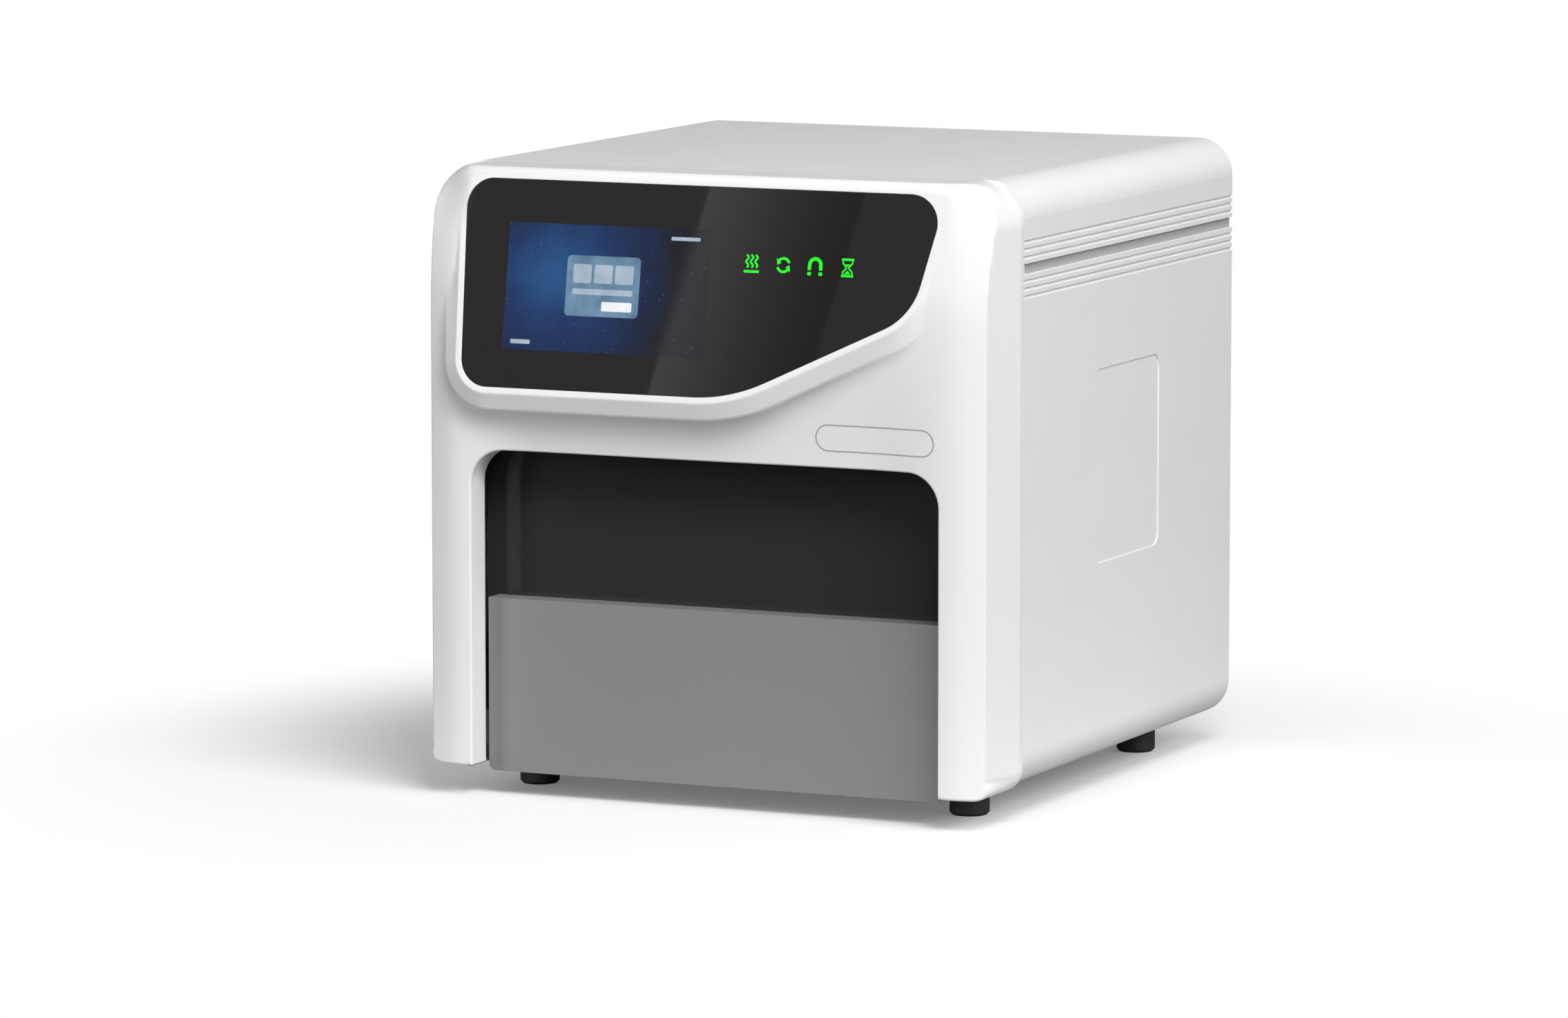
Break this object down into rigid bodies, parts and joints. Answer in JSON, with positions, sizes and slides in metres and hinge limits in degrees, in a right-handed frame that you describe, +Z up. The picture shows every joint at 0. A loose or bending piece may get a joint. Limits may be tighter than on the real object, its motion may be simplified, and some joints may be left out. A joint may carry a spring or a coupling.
{
  "type": "nucleic acid extractor",
  "caption": "White benchtop nucleic acid extractor: tilted touch-screen brow over a lift-up door, magnetic rod head and heated plate nests inside.",
  "frame": {"origin": "centre of the instrument's footprint, on the bench under its feet", "axes": "+Z up, -Y out of the front with the screen and door, +X to the right as seen from the front"},
  "size_m": [0.436, 0.459, 0.444],
  "materials": {
    "bezel_shell": "fine satin white moulding",
    "cover_paint": "white powder coat",
    "panel_paint": "light grey powder coat",
    "door_grey": "satin grey moulding",
    "smoked_window": "smoked acrylic",
    "black_glass": "black printed glass, polished",
    "screen": "lit touch display",
    "icon_light": "green light guide",
    "circuit_board": "green solder mask",
    "rubber_black": "moulded black rubber",
    "steel_sheet": "folded stainless sheet",
    "aluminium_plate": "clear anodised plate",
    "ground_steel": "ground and hardened steel",
    "bearing_steel": "ground steel",
    "brass_nut": "machined bronze",
    "motor_black": "black lacquer",
    "black_plastic": "moulded black",
    "white_plastic": "moulded white",
    "acetal_guide": "low-friction natural acetal",
    "heater_block": "machined, bead blasted",
    "lamp_tube": "quartz tube",
    "supply_case": "pierced steel case",
    "fastener_steel": "zinc plated"
  },
  "bodies": {
    "cabinet": {"front_bezel": "bezel_shell", "housing_cover": "cover_paint", "base_plate": "steel_sheet", "rear_panel": "panel_paint", "case_screws": "fastener_steel", "feet": "rubber_black", "control_glass": "black_glass", "display_module": "screen", "indicator_lights": "icon_light", "indicator_board": "circuit_board", "door_guides": "aluminium_plate", "door_bumpers": "rubber_black", "side_frame_left": "steel_sheet", "side_frame_right": "steel_sheet", "chamber_divider": "steel_sheet", "chamber_deck": "aluminium_plate", "plate_nests": "black_plastic", "heating_bars": "heater_block", "carriage_rails": "bearing_steel", "carriage_motor": "motor_black", "uv_lamp": "lamp_tube", "lamp_sockets": "white_plastic", "power_supply": "supply_case", "control_board": "circuit_board", "board_standoffs": "fastener_steel", "fan_frame": "black_plastic", "fan_guard": "fastener_steel", "mains_inlet": "black_plastic", "switch_body": "black_plastic", "data_ports": "fastener_steel"},
    "door": {"door_cover": "door_grey", "door_window": "smoked_window", "door_frame": "aluminium_plate", "door_shoes": "acetal_guide"},
    "carriage": {"carriage_back": "aluminium_plate", "carriage_bridge": "aluminium_plate", "carriage_blocks": "bearing_steel", "carriage_nut": "brass_nut", "lift_rails": "bearing_steel", "lift_motor": "motor_black"},
    "rod_head": {"sleeve_rack": "aluminium_plate", "head_posts": "ground_steel", "head_top_plate": "aluminium_plate", "magnet_motor": "motor_black", "head_carrier": "aluminium_plate", "lift_blocks": "bearing_steel", "lift_nut": "brass_nut"},
    "rod_plate": {"magnet_plate": "aluminium_plate", "magnet_rods": "ground_steel"},
    "lift_screw": {"lift_screw": "bearing_steel"},
    "magnet_screw": {"magnet_screw": "bearing_steel"},
    "carriage_screw": {"carriage_screw": "bearing_steel"},
    "fan_rotor": {"fan_rotor": "black_plastic"},
    "power_rocker": {"power_rocker": "black_plastic"}
  },
  "joints": [
    {"name": "door_slide", "type": "slide", "parent": "cabinet", "child": "door", "axis": [0, 0, 1], "range_m": [0, 0.185]},
    {"name": "carriage_slide", "type": "slide", "parent": "cabinet", "child": "carriage", "axis": [0, 1, 0], "range_m": [0, 0.045]},
    {"name": "lift_slide", "type": "slide", "parent": "carriage", "child": "rod_head", "axis": [0, 0, -1], "range_m": [0, 0.045]},
    {"name": "rods_slide", "type": "slide", "parent": "rod_head", "child": "rod_plate", "axis": [0, 0, -1], "range_m": [0, 0.045]},
    {"name": "lift_turn", "type": "hinge", "parent": "carriage", "child": "lift_screw", "pos_m": [0, -0.04113, 0.2], "axis": [0, 0, 1], "range_deg": [0, 2030]},
    {"name": "magnet_turn", "type": "hinge", "parent": "rod_head", "child": "magnet_screw", "pos_m": [0, -0.09393, 0.25], "axis": [0, 0, 1], "range_deg": [0, 2030]},
    {"name": "carriage_turn", "type": "hinge", "parent": "cabinet", "child": "carriage_screw", "pos_m": [0.124, 0.00387, 0.322], "axis": [0, 1, 0], "range_deg": [0, 2030]},
    {"name": "fan_spin", "type": "hinge", "parent": "cabinet", "child": "fan_rotor", "pos_m": [-0.1, 0.21387, 0.33], "axis": [0, 1, 0], "continuous": true},
    {"name": "power_rocker_tilt", "type": "hinge", "parent": "cabinet", "child": "power_rocker", "pos_m": [0.095, 0.21957, 0.07], "axis": [1, 0, 0], "range_deg": [0, 16]}
  ],
  "couplings": [
    {"joint": "lift_turn", "follows": "lift_slide", "rad_per_m": 785.4},
    {"joint": "magnet_turn", "follows": "rods_slide", "rad_per_m": 785.4},
    {"joint": "carriage_turn", "follows": "carriage_slide", "rad_per_m": 785.4}
  ]
}
